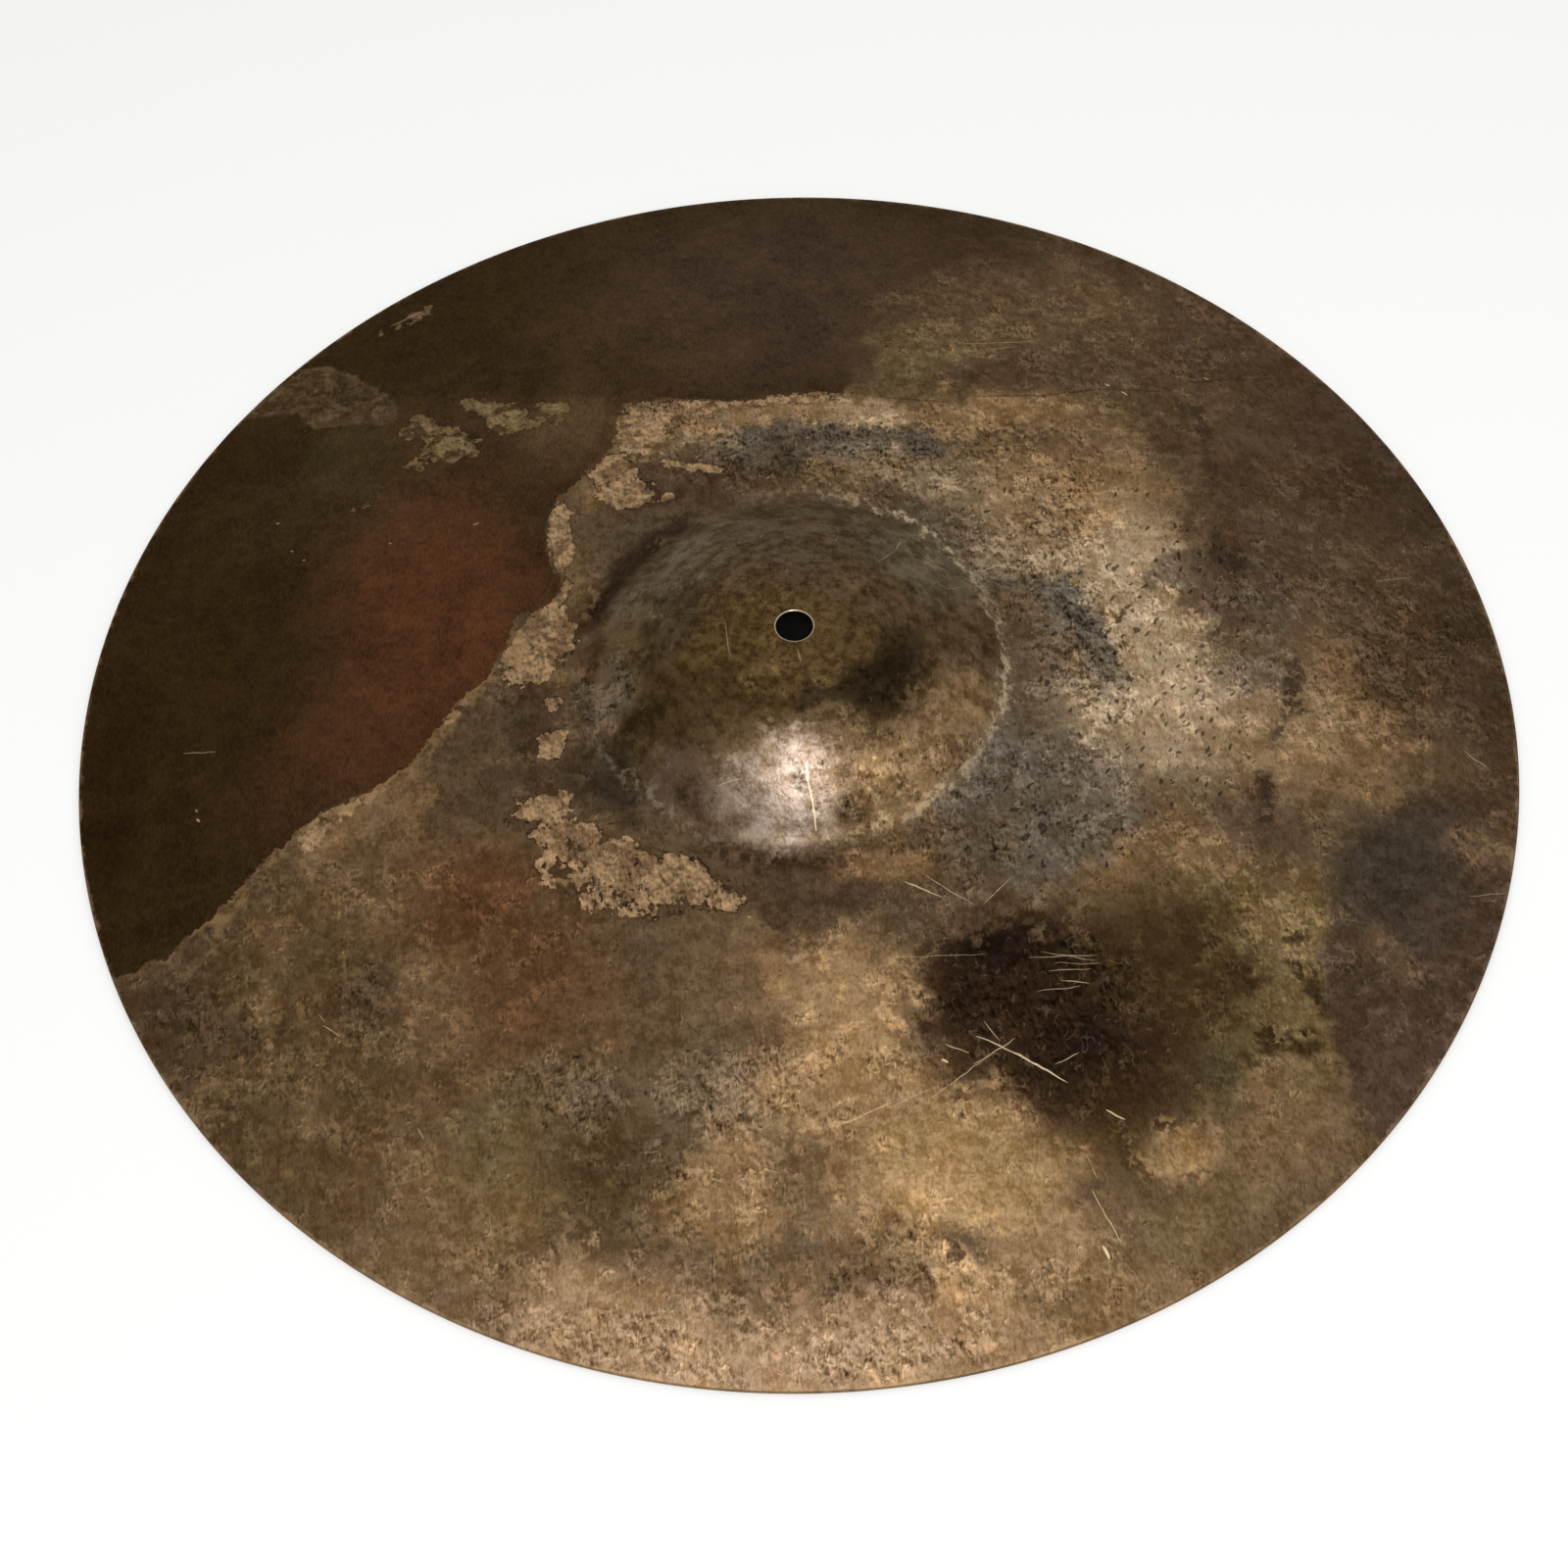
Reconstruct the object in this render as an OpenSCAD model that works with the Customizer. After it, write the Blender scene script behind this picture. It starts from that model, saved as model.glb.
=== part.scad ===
// Hand-hammered ride cymbal in raw cast bronze: one unlathed plate with a
// raised bell, a shallow bow and a single centre hole. Millimetres, +Z up.
// The origin is on the hole's axis, in the plane that the edge rests on.

/* [Plate] */
// Diameter across the edge
plate_d = 508; // [406:1:610]
// Metal thickness at the edge
edge_t = 1.7; // [1.2:0.1:2.4]
// Metal thickness at the top of the bell
crown_t = 2.6; // [2:0.1:3.2]

/* [Bow] */
// Height that the upper face gains from the edge to the foot of the bell
bow_rise = 21.5; // [12:0.5:32]
// Share of that climb that is a straight slope; the rest curves down to the edge
bow_straight = 0.45; // [0.2:0.05:0.8]

/* [Bell] */
// Diameter of the bell at its foot
bell_d = 150; // [120:1:180]
// Slope of the bell's flank at its steepest, in degrees; it sets the bell's height
flank_slope = 40; // [28:1:48]
// Radius of the hollow fillet between the bell and the bow
foot_fillet_r = 8; // [5:0.5:12]
// Diameter of the flat seat round the hole, above and below
seat_d = 26; // [22:1:34]

/* [Hole] */
// Diameter of the hole
hole_d = 12.7; // [10:0.1:14]
// Width of the broken edge at each end of the hole
hole_break = 0.3; // [0.1:0.1:0.6]

/* [Edge] */
// Width of the worn flat that touches a table
edge_land_w = 0.8; // [0.4:0.1:1.2]
// Radius of the rounded upper corner
edge_upper_r = 0.5; // [0.2:0.1:0.6]
// Radius of the rounded lower corner
edge_lower_r = 0.3; // [0.1:0.1:0.35]

/* [Hidden] */

$fn = 180;
BOW_STEPS = 36;    // straight pieces along the bow
DOME_STEPS = 24;   // straight pieces along the bell's dome
FILLET_STEPS = 10; // straight pieces round the fillet at the bell's foot
CORNER_STEPS = 4;  // straight pieces round each corner of the edge

plate_r = plate_d / 2;
bell_r = bell_d / 2;
seat_r = seat_d / 2;
hole_r = hole_d / 2;

// The bow falls from the bell's foot to the edge, slowly first and then faster.
bow_span = plate_r - bell_r;
foot_slope = atan(bow_straight * bow_rise / bow_span);
edge_slope = atan((2 - bow_straight) * bow_rise / bow_span);

// The land cuts the lower face at z = 0, which leaves the upper face this high.
edge_z = edge_t / cos(edge_slope) - edge_land_w * tan(edge_slope);
foot_z = edge_z + bow_rise;

// One arc makes the dome, tangent to the flat seat and to the fillet at its foot.
fillet_run = foot_fillet_r * (sin(flank_slope) - sin(foot_slope));
fillet_drop = foot_fillet_r * (cos(foot_slope) - cos(flank_slope));
dome_r = (bell_r - seat_r - fillet_run) / sin(flank_slope);
dome_drop = dome_r * (1 - cos(flank_slope));
crown_z = foot_z + fillet_drop + dome_drop;

// The metal is even under the seat and thins steadily from there to the edge.
function thickness(r) =
    crown_t + (edge_t - crown_t) * max(0, r - seat_r) / (plate_r - seat_r);

// Each point of the upper face is [radius, height, slope in degrees].
function bow_point(r) =
    let (u = (r - bell_r) / bow_span)
    [r,
     edge_z + bow_rise * (1 - bow_straight * u - (1 - bow_straight) * u * u),
     atan((bow_straight + 2 * (1 - bow_straight) * u) * bow_rise / bow_span)];

function dome_point(slope) =
    [seat_r + dome_r * sin(slope), crown_z - dome_r * (1 - cos(slope)), slope];

function fillet_point(slope) =
    [bell_r - foot_fillet_r * (sin(slope) - sin(foot_slope)),
     foot_z + foot_fillet_r * (cos(foot_slope) - cos(slope)),
     slope];

dome_points = [for (i = [0:DOME_STEPS]) dome_point(flank_slope * i / DOME_STEPS)];
fillet_points = [
    for (i = [1:FILLET_STEPS])
        fillet_point(flank_slope + (foot_slope - flank_slope) * i / FILLET_STEPS)
];

// The bow stops where the rounded upper corner of the edge takes over.
corner_r = plate_r - edge_upper_r * (1 - sin(edge_slope));
upper_bow_points = [
    for (i = [1:BOW_STEPS]) bow_point(bell_r + (corner_r - bell_r) * i / BOW_STEPS)
];

// The lower face lies one thickness below the upper face, square to it.
function below(p) =
    [p[0] - thickness(p[0]) * sin(p[2]), p[1] - thickness(p[0]) * cos(p[2])];

// The bow's last lower point is the inner edge of the land, so that is left out.
lower_bow_points = [
    for (i = [1:BOW_STEPS])
        let (p = below(bow_point(bell_r + bow_span * i / BOW_STEPS)))
        if (p[0] < plate_r - edge_land_w && p[1] > 0) p
];

function arc(centre, radius, from, to, steps) = [
    for (i = [0:steps])
        let (a = from + (to - from) * i / steps)
        centre + radius * [cos(a), sin(a)]
];

function reversed(list) = [for (i = [len(list) - 1:-1:0]) list[i]];

upper_corner = let (p = bow_point(corner_r)) arc(
    [plate_r - edge_upper_r, p[1] - edge_upper_r * cos(edge_slope)],
    edge_upper_r, 90 - edge_slope, 0, CORNER_STEPS);

lower_corner = arc(
    [plate_r - edge_lower_r, edge_lower_r], edge_lower_r, 0, -90, CORNER_STEPS);

hole_wall = [
    [hole_r + hole_break, crown_z - crown_t],
    [hole_r, crown_z - crown_t + hole_break],
    [hole_r, crown_z - hole_break],
    [hole_r + hole_break, crown_z]
];

function flat(points) = [for (p = points) [p[0], p[1]]];

// Half of the plate's section: up the hole, out along the upper face, round
// the edge and back along the lower face.
module plate_section() {
    polygon(concat(
        hole_wall,
        flat(dome_points),
        flat(fillet_points),
        flat([for (i = [0:BOW_STEPS - 2]) upper_bow_points[i]]),
        upper_corner,
        lower_corner,
        [[plate_r - edge_land_w, 0]],
        reversed(lower_bow_points),
        reversed([for (p = fillet_points) below(p)]),
        reversed([for (p = dome_points) below(p)])
    ));
}

module cymbal() {
    color("#6e5638")
        rotate_extrude()
            plate_section();
}

cymbal();
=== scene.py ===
import bpy
import math
import numpy as np
from mathutils import Matrix, Vector


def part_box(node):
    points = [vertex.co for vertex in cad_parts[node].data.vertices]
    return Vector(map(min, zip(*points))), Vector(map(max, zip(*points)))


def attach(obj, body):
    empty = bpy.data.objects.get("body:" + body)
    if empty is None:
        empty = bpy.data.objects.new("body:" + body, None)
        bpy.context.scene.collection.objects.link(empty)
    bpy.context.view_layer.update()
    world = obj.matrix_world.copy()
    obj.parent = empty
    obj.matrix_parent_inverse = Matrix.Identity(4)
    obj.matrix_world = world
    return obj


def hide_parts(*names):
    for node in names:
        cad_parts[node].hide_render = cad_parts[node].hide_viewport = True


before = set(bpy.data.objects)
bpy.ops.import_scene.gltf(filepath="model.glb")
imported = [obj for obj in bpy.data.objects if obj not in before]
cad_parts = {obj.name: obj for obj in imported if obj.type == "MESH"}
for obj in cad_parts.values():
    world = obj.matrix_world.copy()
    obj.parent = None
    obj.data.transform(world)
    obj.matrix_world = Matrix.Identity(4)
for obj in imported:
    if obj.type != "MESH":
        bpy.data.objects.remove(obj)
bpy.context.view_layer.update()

MM = 0.001

# ---- the plate's section, from the CAD node
MERGE = 0.04  # CAD ring corners closer than this, in mm, are one corner


def mesh_array(items, name, width, kind=float):
    """One property of every item of a mesh, as an array with width columns."""
    values = np.empty(len(items) * width, kind)
    items.foreach_get(name, values)
    return values.reshape(-1, width)


def section_corners(mesh):
    """The (radius, height) corners of a turned part's section in mm, and each vertex's corner."""
    points = mesh_array(mesh.vertices, "co", 3) / MM
    flat = np.column_stack((np.hypot(points[:, 0], points[:, 1]), points[:, 2]))
    corners, owner = [], np.empty(len(flat), int)
    for i, point in enumerate(flat):
        near = [k for k, c in enumerate(corners) if abs(c[0] - point[0]) + abs(c[1] - point[1]) < MERGE]
        if not near:
            corners.append(point)
        owner[i] = near[0] if near else len(corners) - 1
    return np.array(corners), owner


def cad_section(node):
    """The CAD plate's section as two open lines, outwards from the hole: upper face, lower face."""
    corners, owner = section_corners(node.data)
    next_to = {i: set() for i in range(len(corners))}
    for a, b in owner[mesh_array(node.data.edges, "vertices", 2, np.int32)]:
        if a != b:
            next_to[a].add(b)
            next_to[b].add(a)
    top = np.flatnonzero(corners[:, 1] > corners[:, 1].max() - MERGE)
    start = top[corners[top, 0].argmin()]
    step = max(next_to[start], key=lambda i: corners[i, 0])
    walk = [start, step]
    while True:
        onward = [i for i in next_to[walk[-1]] if i not in walk[-2:]]
        if not onward or onward[0] == start:
            break
        walk.append(onward[0])
    loop = corners[walk]
    outermost = int(loop[:, 0].argmax())
    return loop[: outermost + 1], loop[:outermost:-1]


def heights(face, radii):
    """The face's height at these radii, by a cubic through its CAD corners, so that no facet shows."""
    r, z = face[:, 0], face[:, 1]
    gap = np.diff(r)
    slope = np.diff(z) / gap
    between = (slope[:-1] * gap[1:] + slope[1:] * gap[:-1]) / (gap[:-1] + gap[1:])
    bend = np.concatenate((slope[:1], between, slope[-1:]))
    i = np.clip(np.searchsorted(r, radii, side="right") - 1, 0, len(gap) - 1)
    t = np.clip((radii - r[i]) / gap[i], 0, 1)
    rise = (3 - 2 * t) * t * t
    curve = bend[i] * t * (1 - t) ** 2 - bend[i + 1] * t * t * (1 - t)
    return z[i] * (1 - rise) + z[i + 1] * rise + gap[i] * curve


# ---- seeded noise on the plate, in mm
LATTICE = 128  # side of the noise lattice, in cells
LAYER_SHARE = 0.55  # strength of each finer layer, against the one before it
NOISE_GAIN = 1.6  # brings the layers' mean back to about -1 to 1


def cloud(x, y, size, seed, layers=3):
    """Soft noise from about -1 to 1, with blobs about size mm wide and finer ones inside them."""
    total, weight, share = np.zeros_like(x), 1.0, 0.0
    for layer in range(layers):
        lattice = np.random.default_rng(seed * 31 + layer).uniform(-1, 1, (LATTICE, LATTICE))
        turn = 0.6 + 1.1 * layer  # so that the lattices of two layers never line up
        u = (x * math.cos(turn) - y * math.sin(turn)) / size + 11.3
        v = (x * math.sin(turn) + y * math.cos(turn)) / size + 5.7
        i, j = np.floor(u).astype(int), np.floor(v).astype(int)
        s, t = u - i, v - j
        s, t = s * s * (3 - 2 * s), t * t * (3 - 2 * t)
        i, j, right, up = i % LATTICE, j % LATTICE, (i + 1) % LATTICE, (j + 1) % LATTICE
        below = lattice[i, j] * (1 - s) + lattice[right, j] * s
        above = lattice[i, up] * (1 - s) + lattice[right, up] * s
        total += weight * (below * (1 - t) + above * t)
        share += weight
        weight, size = weight * LAYER_SHARE, size * 0.5
    return total / share * NOISE_GAIN


def smooth(value, low, high):
    """0 below low, 1 above high, and an S between them; low may be above high."""
    t = np.clip((value - low) / (high - low), 0, 1)
    return t * t * (3 - 2 * t)


def spot(x, y, oval, soft):
    """How much of an oval each point gets, 0 to 1. soft is the width of its edge, for a radius of 1."""
    x_at, y_at, wide, tall, percent, *turn = oval
    angle = math.radians(sum(turn))
    c, s = math.cos(angle), math.sin(angle)
    u = ((x - x_at) * c + (y - y_at) * s) * 2 / wide
    v = ((y - y_at) * c - (x - x_at) * s) * 2 / tall
    return percent / 100 * smooth(np.hypot(u, v), 1 + soft, 1 - soft)


# ---- the plate's mesh
plate_low, plate_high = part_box("cymbal")
RIM_R = plate_high.x / MM
UPPER, LOWER = cad_section(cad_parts["cymbal"])
HOLE_LIP_R = UPPER[0, 0]
UNDER = LOWER[2:]  # the lower face without the hole's wall

RING_GAP = 1.95  # spacing of the upper face's rings, mm
UNDER_GAP = 4.2  # and of the lower face's
LIP_W = 0.12  # width of the narrow ring beside a sharp edge, which keeps the shading crisp there
UPPER_CORNER_W = 0.55  # the rim's rounded upper corner lies within this of the rim
LOWER_CORNER_W = 0.9  # and its land and lower corner within this
SPOKES = ((14, 96), (60, 192), (126, 384), (1000, 768))  # vertices in a ring, for rings inside each radius
UNDER_SPOKES = ((14, 96), (60, 192), (236, 384), (1000, 768))

# hand work that the plain section doesn't have, in mm
SWELL, SWELL_W = 0.28, 95  # height and width of the broad unevenness of the sheet
RIPPLE, RIPPLE_W = 0.06, 26  # and of the finer unevenness
DENT_ROW = 13.0  # spacing of the rows of hammer marks
DENT_GAP = 21  # spacing of the marks in a row
DENT_STRAY = 4  # how far a mark may lie off its row
DENT_R = (6.0, 10.0)
DENT_DEPTH = (0.05, 0.16)
DENTS_FROM, DENTS_CLEAR = 34.0, 6  # the first row's radius, and how far the last one stays from the rim
SEAT_CALM = (14, 30)  # the hand work grows between these radii
RIM_CALM = (1.2, 14)  # and between these distances from the rim
FOOT_R = 75.0  # radius of the bell's foot
FOOT_WOBBLE = 1.1  # how far the foot wanders from a true circle
FOOT_REACH = 16  # and how far from the foot that is felt
FOOT_WAVES = ((0.6, 2, 0.8), (0.5, 3, -0.5), (0.35, 7, 0.0))  # share, waves in a turn, phase


def ring_list():
    """The plate's rings as (radius, height, face, count), from the hole's upper lip round the rim."""

    def count(radius, table):
        return next(n for limit, n in table if radius < limit)

    rim_start, land_start = RIM_R - UPPER_CORNER_W, RIM_R - LOWER_CORNER_W
    first = HOLE_LIP_R + LIP_W
    radii = np.linspace(first, rim_start, round((rim_start - first) / RING_GAP))
    radii = np.concatenate(([HOLE_LIP_R], radii))
    rings = [(r, z, "upper", count(r, SPOKES)) for r, z in zip(radii, heights(UPPER, radii))]
    rings += [(r, z, "rim", SPOKES[-1][1]) for r, z in UPPER[UPPER[:, 0] > rim_start + 0.01]]
    rings += [(r, z, "rim", SPOKES[-1][1]) for r, z in LOWER[LOWER[:, 0] > land_start][::-1]]
    radii = np.linspace(land_start - LIP_W, first, round((land_start - first) / UNDER_GAP))
    radii = np.concatenate((radii, [HOLE_LIP_R]))
    rings += [(r, z, "lower", count(r, UNDER_SPOKES)) for r, z in zip(radii, heights(UNDER, radii))]
    wall = [LOWER[1], LOWER[1] + (0, LIP_W), LOWER[0] - (0, LIP_W), LOWER[0]]
    rings += [(r, z, "hole", SPOKES[0][1]) for r, z in wall]
    return rings


def relief(x, y):
    """Height in mm that hand work adds to both faces alike: broad swells and rows of shallow round dents."""
    radius = np.hypot(x, y)
    lift = SWELL * cloud(x, y, SWELL_W, 3, 2) + RIPPLE * cloud(x, y, RIPPLE_W, 4, 2)
    draw = np.random.default_rng(20)
    for row in np.arange(DENTS_FROM, RIM_R - DENTS_CLEAR, DENT_ROW):
        marks = int(2 * math.pi * row / DENT_GAP)
        for k in range(marks):
            angle = 2 * math.pi * (k + draw.uniform(-0.3, 0.3)) / marks
            out = row + draw.uniform(-DENT_STRAY, DENT_STRAY)
            wide = draw.uniform(*DENT_R)
            deep = draw.uniform(*DENT_DEPTH)
            dx, dy = x - out * math.cos(angle), y - out * math.sin(angle)
            near = (np.abs(dx) < 3 * wide) & (np.abs(dy) < 3 * wide)
            lift[near] -= deep * np.exp(-(dx[near] ** 2 + dy[near] ** 2) / wide ** 2)
    from_rim = RIM_R - radius
    return lift * smooth(radius, *SEAT_CALM) * smooth(from_rim, *RIM_CALM)


def foot_shift(radius, angle):
    """How far outwards, in mm, the section is drawn at each point: the bell's foot isn't quite round."""
    wander = sum(share * np.sin(waves * angle + phase) for share, waves, phase in FOOT_WAVES)
    return FOOT_WOBBLE * wander * np.exp(-((radius - FOOT_R) / FOOT_REACH) ** 2)


def stitch(first, a, second, b):
    """The faces between two rings of a and b vertices, where a and b are equal or one is twice the other."""
    if a == b:
        j = np.arange(a)
        k = (j + 1) % a
        return [tuple(f) for f in np.column_stack((first + j, second + j, second + k, first + k))]
    faces = []
    few, many = min(a, b), max(a, b)
    for j in range(few):
        k, m, e = (j + 1) % few, 2 * j + 1, (2 * j + 2) % many
        if a < b:
            faces += [(first + j, second + 2 * j, second + m), (first + j, second + m, first + k)]
            faces += [(first + k, second + m, second + e)]
        else:
            faces += [(first + 2 * j, second + j, first + m), (first + m, second + j, second + k)]
            faces += [(first + m, second + k, first + e)]
    return faces


def plate_mesh(name):
    """The closed plate: its CAD section turned on rings, with the hand work added to both faces.

    Also gives each vertex's x and y in mm, and 1 for the upper side or 0 for the lower."""
    rings = ring_list()
    x, y, z, up, starts = [], [], [], [], []
    total = 0
    for radius, height, face, n in rings:
        angle = 2 * math.pi * np.arange(n) / n
        shifted = radius - foot_shift(radius, angle)
        line = {"upper": UPPER, "lower": UNDER}.get(face)
        extra = heights(line, shifted) - heights(line, np.full(n, radius)) if line is not None else 0
        x.append(radius * np.cos(angle))
        y.append(radius * np.sin(angle))
        z.append(height + np.zeros(n) + extra)
        up.append(np.full(n, 0.0 if face in ("lower", "hole") else 1.0))
        starts.append(total)
        total += n
    x, y, z, up = (np.concatenate(v) for v in (x, y, z, up))
    z += relief(x, y)
    faces = []
    for i, ring in enumerate(rings):
        after = (i + 1) % len(rings)
        faces += stitch(starts[i], ring[3], starts[after], rings[after][3])
    mesh = bpy.data.meshes.new(name)
    mesh.from_pydata((np.column_stack((x, y, z)) * MM).tolist(), [], faces)
    mesh.shade_smooth()
    mesh.update()
    return mesh, x, y, up


# ---- where each stain, and each painted highlight, reflection and shade, lies on the upper face
# Each paint's colour as it looks in soft daylight, 0 to 255, and how softly its stains fade out, 0 to 1
PAINT = {
    "umber": (90, 72, 51, 0.55), "loam": (98, 76, 46, 0.6), "bark": (74, 57, 42, 0.55),
    "dark_umber": (62, 48, 35, 0.55), "tan": (146, 118, 84, 0.5), "stone": (170, 149, 121, 0.5),
    "sand": (124, 100, 70, 0.55), "straw": (166, 138, 100, 0.5), "gold": (136, 111, 77, 0.4),
    "orange": (134, 108, 76, 0.55), "amber": (138, 113, 82, 0.45), "blush": (152, 126, 100, 0.6),
    "olive": (104, 89, 58, 0.45), "dark_olive": (62, 47, 26, 0.55), "murk": (37, 28, 15, 0.4),
    "shade": (58, 45, 26, 0.12), "moss": (44, 42, 26, 0.55), "grey": (104, 92, 77, 0.55),
    "slate": (90, 83, 74, 0.25), "night": (62, 53, 43, 0.45), "plum": (82, 66, 54, 0.5),
    "plum_edge": (72, 57, 46, 0.05), "dusk": (83, 68, 56, 0.12), "ink": (60, 47, 36, 0.15),
    "rust": (92, 62, 39, 0.65), "soot": (42, 28, 17, 0.5), "black": (19, 12, 7, 0.75),
    # The last paint on the next line is rubbed metal under a painted highlight on the bell.
    "flank": (86, 72, 56, 0.55), "green_flank": (92, 82, 65, 0.5), "bare_and_highlight": (148, 133, 122, 0.5),
    # The smooth zone's paints, from the second one on the next line to the end, are colours of a painted dark
    # reflection.
    "bell_olive": (86, 66, 35, 0.45), "dark_reflection": (56, 40, 23, 0.5), "dark_reflection_far": (73, 56, 43, 0.6),
    "dark_reflection_red": (84, 51, 30, 0.6), "dark_reflection_left": (51, 35, 16, 0.6), "dark_reflection_deep": (42, 28, 12, 0.6),
    "dark_reflection_brown": (80, 60, 38, 0.5), "dark_reflection_olive": (60, 47, 27, 0.15), "dark_reflection_smear": (70, 55, 33, 0.2),
}

# The stains, in the order that they are laid, with a painted highlight and a painted dark reflection among
# those on the bell. Each is an oval: paint, x and y of its middle and its two widths in mm, strength in
# percent, and its turn in degrees where it has one
FAR_STAINS = (
    ("dark_umber", 50, 240, 300, 64, 85), ("bark", 110, 205, 110, 60, 50, -14),
    ("sand", 100, 182, 100, 34, 25, -14), ("sand", 62, 160, 64, 32, 30), ("olive", 42, 146, 48, 46, 40),
    ("bark", 66, 139, 16, 20, 80), ("bark", 83, 139, 20, 20, 70), ("bark", 118, 146, 70, 30, 20),
    ("bark", 206, 130, 80, 150, 75, 25), ("sand", 120, 204, 60, 26, 40, -50),
    ("dark_umber", 230, 96, 70, 100, 70, 25), ("ink", 156, 108, 7, 62, 75), ("dusk", 157, 160, 5, 50, 60),
    ("umber", 166, 133, 22, 16, 60), ("bark", 144, 104, 22, 34, 45), ("sand", 118, 118, 40, 26, 50, -20),
    ("tan", 8, 122, 86, 20, 85), ("stone", 32, 119, 30, 14, 60), ("stone", -40, 118, 66, 26, 50),
    ("tan", -58, 118, 26, 28, 60), ("slate", 14, 101, 92, 24, 70), ("dark_umber", 4, 98, 30, 16, 50),
    ("sand", 14, 82, 80, 12, 60), ("bark", -36, 86, 60, 22, 85, 8), ("sand", -72, 84, 24, 26, 60),
    ("tan", 80, 122, 56, 28, 85), ("tan", -40, 120, 30, 18, 60),
)
RIGHT_STAINS = (
    ("tan", 106, 70, 74, 70, 75, -20), ("orange", 90, 90, 52, 20, 60, -26), ("stone", 76, 72, 60, 44, 30),
    ("umber", 86, 106, 32, 12, 60, -30), ("stone", 120, 16, 58, 108, 95, -4),
    ("stone", 136, -22, 80, 54, 60), ("stone", 46, 84, 52, 22, 50, -24), ("tan", 180, -30, 60, 44, 50),
    ("stone", 80, 45, 46, 22, 80, -10), ("slate", 86, 28, 36, 7, 60, -18),
    ("slate", 95, 20, 26, 20, 80, -20), ("slate", 103, 6, 17, 34, 80, 20), ("stone", 98, -18, 24, 30, 40),
    ("grey", 84, -4, 24, 50, 40, 8), ("bark", 176, 80, 54, 60, 60), ("dusk", 155, 38, 48, 40, 60, -20),
    ("grey", 168, 30, 16, 60, 35, -10), ("ink", 158, 51, 15, 12, 80, -30), ("ink", 150, 14, 6, 8, 50),
    ("grey", 158, -2, 24, 18, 55), ("plum", 186, 46, 40, 70, 25), ("bark", 214, 20, 50, 80, 35),
    ("dark_umber", 246, 20, 30, 150, 75), ("sand", 186, 8, 30, 30, 40), ("ink", 173, -6, 7, 28, 80, -14),
    ("dusk", 167, -26, 4, 18, 80, -14), ("plum", 150, -67, 26, 20, 80), ("ink", 158, -58, 6, 30, 95, -12),
    ("tan", 130, -84, 74, 40, 55), ("tan", 162, -104, 20, 34, 50), ("bark", 158, -79, 26, 24, 50),
)
LOW_RIGHT_STAINS = (
    ("slate", 78, -62, 54, 62, 75, -20), ("grey", 98, -56, 30, 42, 85), ("umber", 54, -74, 36, 30, 60),
    ("tan", 26, -79, 40, 15, 70, 10), ("plum", 26, -94, 66, 13, 60), ("bark", -6, -92, 54, 22, 65),
    ("olive", 150, -122, 66, 78, 85), ("sand", 160, -120, 24, 40, 30), ("tan", 150, -108, 36, 16, 35),
    ("dark_olive", 133, -134, 22, 15, 70, -30), ("shade", 142, -123, 16, 11, 100),
    ("shade", 151, -143, 11, 12, 100), ("shade", 162, -144, 9, 11, 100),
    ("shade", 167, -128, 7, 14, 100, 20), ("shade", 146, -153, 14, 8, 70, -40),
    ("shade", 161, -107, 10, 6, 80), ("dark_olive", 119, -121, 56, 62, 100),
    ("moss", 128, -158, 26, 24, 45, -30), ("olive", 120, -166, 34, 20, 40, -20),
    ("soot", 74, -130, 66, 54, 100, -14), ("soot", 86, -158, 60, 52, 100, -20),
    ("black", 63, -115, 28, 13, 80), ("black", 86, -146, 18, 13, 75),
    ("dark_olive", 98, -176, 30, 32, 75, 10), ("gold", 116, -184, 24, 18, 85),
    ("ink", 84, -195, 18, 12, 85), ("sand", 152, -176, 46, 34, 45, 40),
    ("olive", 126, -204, 50, 20, 40, 30), ("plum_edge", 217, -122, 92, 150, 90, -7),
    ("night", 202, -82, 48, 52, 90, 8), ("sand", 235, -68, 18, 22, 60), ("sand", 190, -112, 17, 20, 45),
)
LOW_STAINS = (
    ("tan", 16, -131, 46, 44, 95, -20), ("sand", -22, -122, 42, 34, 40),
    ("orange", -8, -118, 12, 52, 45, 28), ("tan", 20, -154, 50, 22, 80, -14),
    ("gold", 47, -186, 78, 50, 100, -4), ("straw", 44, -220, 52, 16, 75, -22),
    ("straw", 36, -196, 36, 22, 45), ("stone", -20, -160, 30, 24, 30), ("grey", -43, -168, 30, 40, 30),
    ("tan", 4, -160, 44, 28, 85), ("tan", -24, -186, 24, 34, 60), ("dark_olive", -60, -188, 40, 36, 60),
    ("grey", -78, -158, 34, 30, 55), ("tan", -4, -198, 60, 24, 50), ("night", -3, -209, 16, 18, 40),
    ("night", 2, -193, 11, 14, 35), ("bark", 24, -205, 15, 9, 60, -10), ("bark", 43, -213, 22, 9, 80, -8),
    ("umber", 32, -228, 16, 20, 70), ("tan", 47, -222, 44, 9, 80, -33), ("tan", 78, -212, 38, 22, 60),
    ("sand", 70, -236, 120, 20, 50, 12), ("tan", -58, -232, 70, 30, 60, -16),
    ("blush", -50, -234, 110, 34, 70, -10), ("blush", 20, -240, 90, 26, 70, 4),
)
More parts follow.
